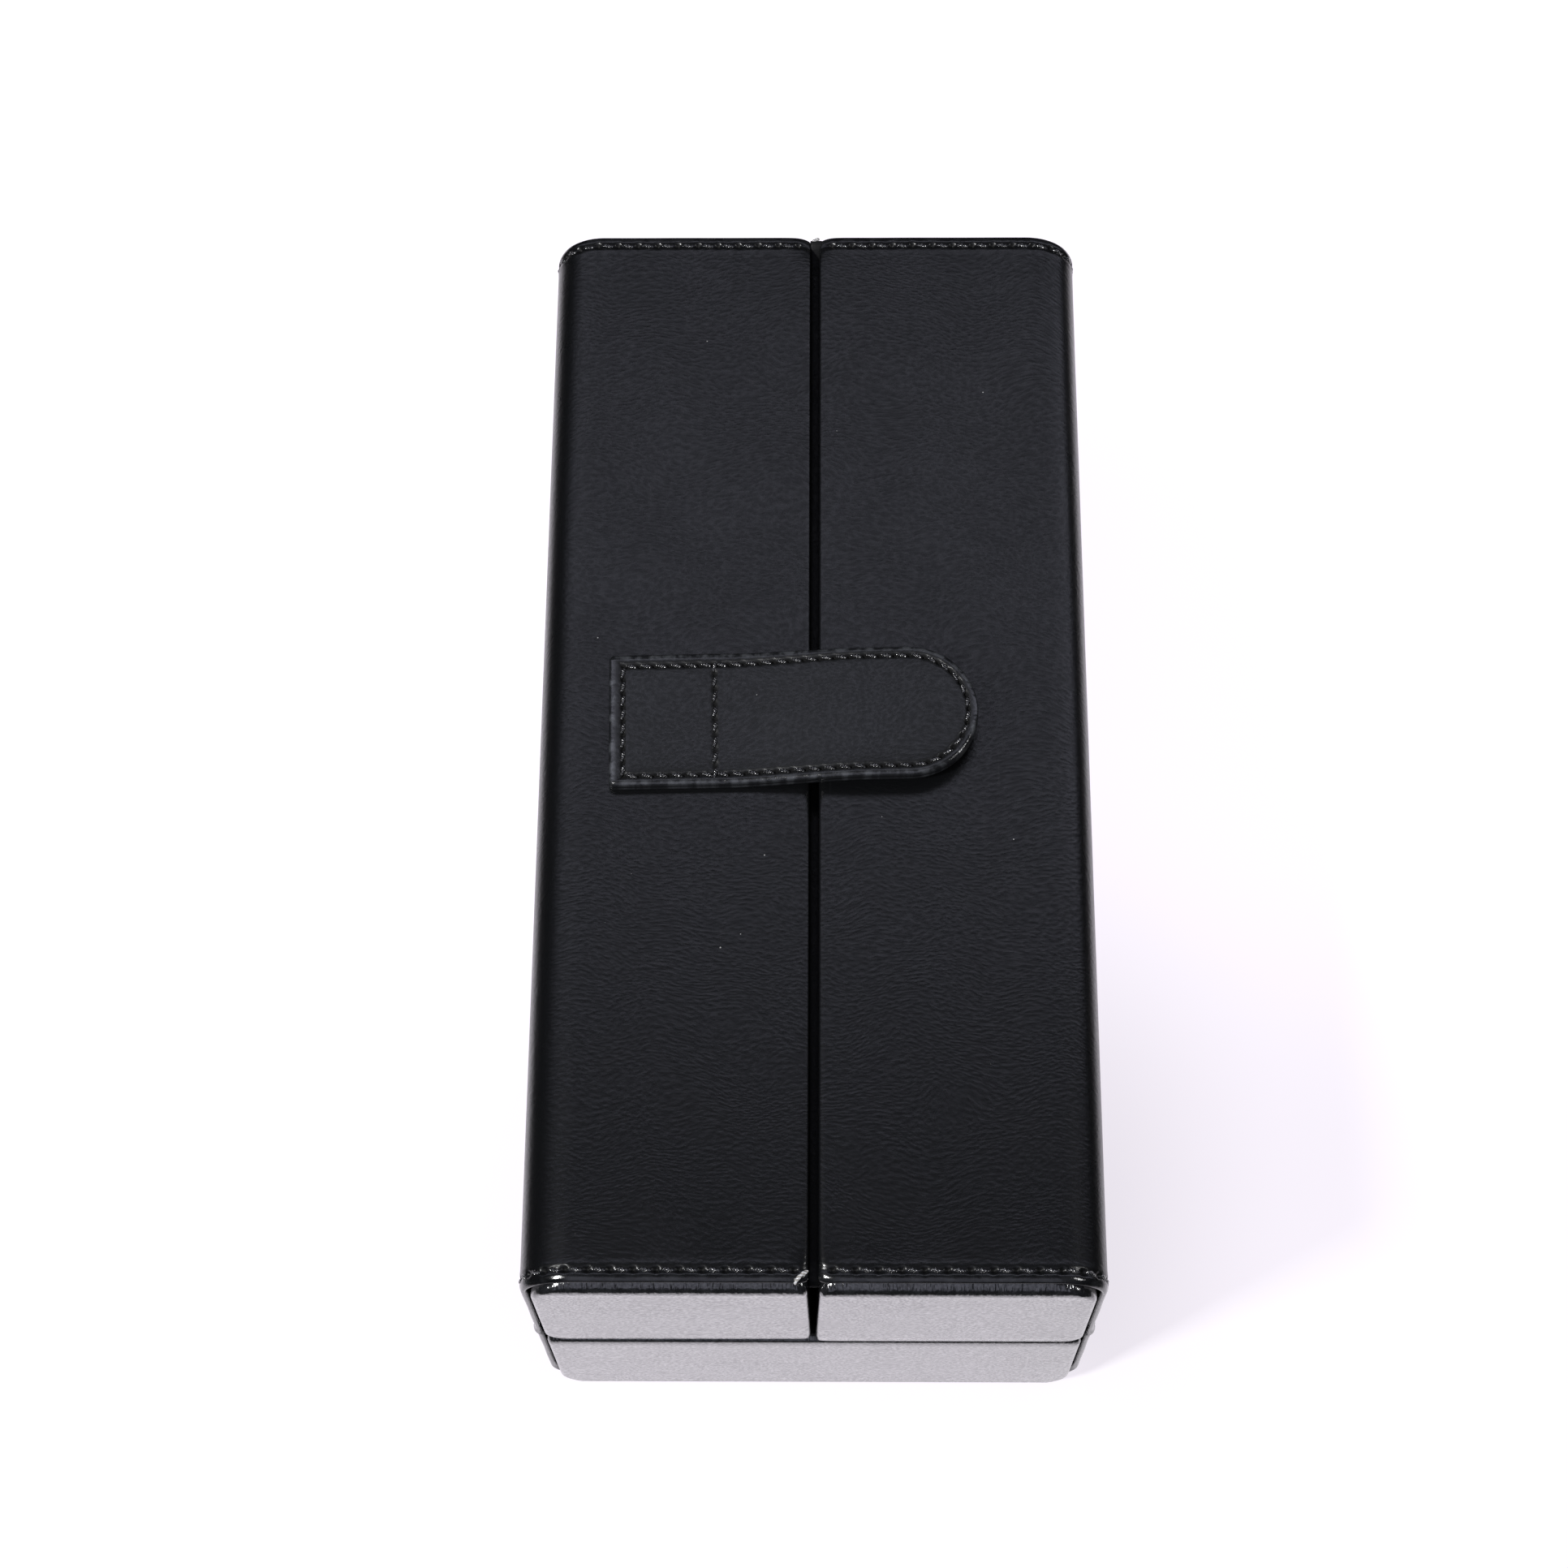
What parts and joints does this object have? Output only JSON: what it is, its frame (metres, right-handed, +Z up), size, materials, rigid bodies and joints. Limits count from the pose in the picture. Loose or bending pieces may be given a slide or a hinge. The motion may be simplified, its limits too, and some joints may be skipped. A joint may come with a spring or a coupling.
{
  "type": "jewelry box",
  "caption": "Leather-covered jewelry box: a lined base tray, half-width lid trays that swing outwards on leather folds, and a strap that closes over the middle with magnets.",
  "frame": {"origin": "centre of the footprint, on the surface the box stands on", "axes": "+Z up, +Y along the box towards its far end, +X across it to the right lid"},
  "size_m": [0.1014, 0.2052, 0.086],
  "materials": {
    "cover_leather": "fine grain, semi-matte black",
    "tray_leather": "fine grain, semi-gloss black",
    "strap_leather": "fine grain, semi-matte black",
    "card": "grey board",
    "velvet": "short black velvet",
    "ring_foam": "velvet over foam",
    "hook_metal": "polished nickel",
    "magnet_cup": "satin nickel"
  },
  "bodies": {
    "base": {"base_cover": "cover_leather", "left_hinge_leather": "cover_leather", "right_hinge_leather": "cover_leather", "base_wrap": "tray_leather", "base_lining": "velvet", "base_floor_board": "card", "base_front_board": "card", "base_back_board": "card", "base_left_board": "card", "base_right_board": "card", "ring_rolls": "ring_foam", "cross_divider": "velvet", "long_divider": "velvet", "small_divider": "velvet"},
    "left_lid": {"left_lid_cover": "cover_leather", "left_lid_wrap": "tray_leather", "left_lid_lining": "velvet", "left_lid_top_board": "card", "left_lid_front_board": "card", "left_lid_back_board": "card", "left_lid_outer_board": "card", "left_lid_inner_board": "card", "hook_rail": "velvet", "necklace_hooks": "hook_metal", "necklace_pocket": "velvet", "strap_patch": "strap_leather", "strap_patch_lining": "strap_leather"},
    "right_lid": {"right_lid_cover": "cover_leather", "right_lid_wrap": "tray_leather", "right_lid_lining": "velvet", "right_lid_top_board": "card", "right_lid_front_board": "card", "right_lid_back_board": "card", "right_lid_inner_board": "card", "right_lid_outer_board": "card", "earring_board": "velvet", "earring_rails": "velvet", "lid_magnet": "magnet_cup"},
    "strap": {"strap_tongue": "strap_leather", "strap_tongue_lining": "strap_leather", "strap_magnet": "magnet_cup"}
  },
  "joints": [
    {"name": "left_lid_swing", "type": "hinge", "parent": "base", "child": "left_lid", "pos_m": [-0.0502, 0, 0.04], "axis": [0, -1, 0], "range_deg": [0, 168], "deforming": ["left_hinge_leather"]},
    {"name": "right_lid_swing", "type": "hinge", "parent": "base", "child": "right_lid", "pos_m": [0.0502, 0, 0.04], "axis": [0, 1, 0], "range_deg": [0, 168], "deforming": ["right_hinge_leather", "strap_tongue", "strap_tongue_lining", "strap_magnet"]},
    {"name": "strap_lift", "type": "hinge", "parent": "left_lid", "child": "strap", "pos_m": [-0.0176, -0.0004, 0.0834], "axis": [0.0227, -0.9997, 0], "range_deg": [0, 170]}
  ]
}
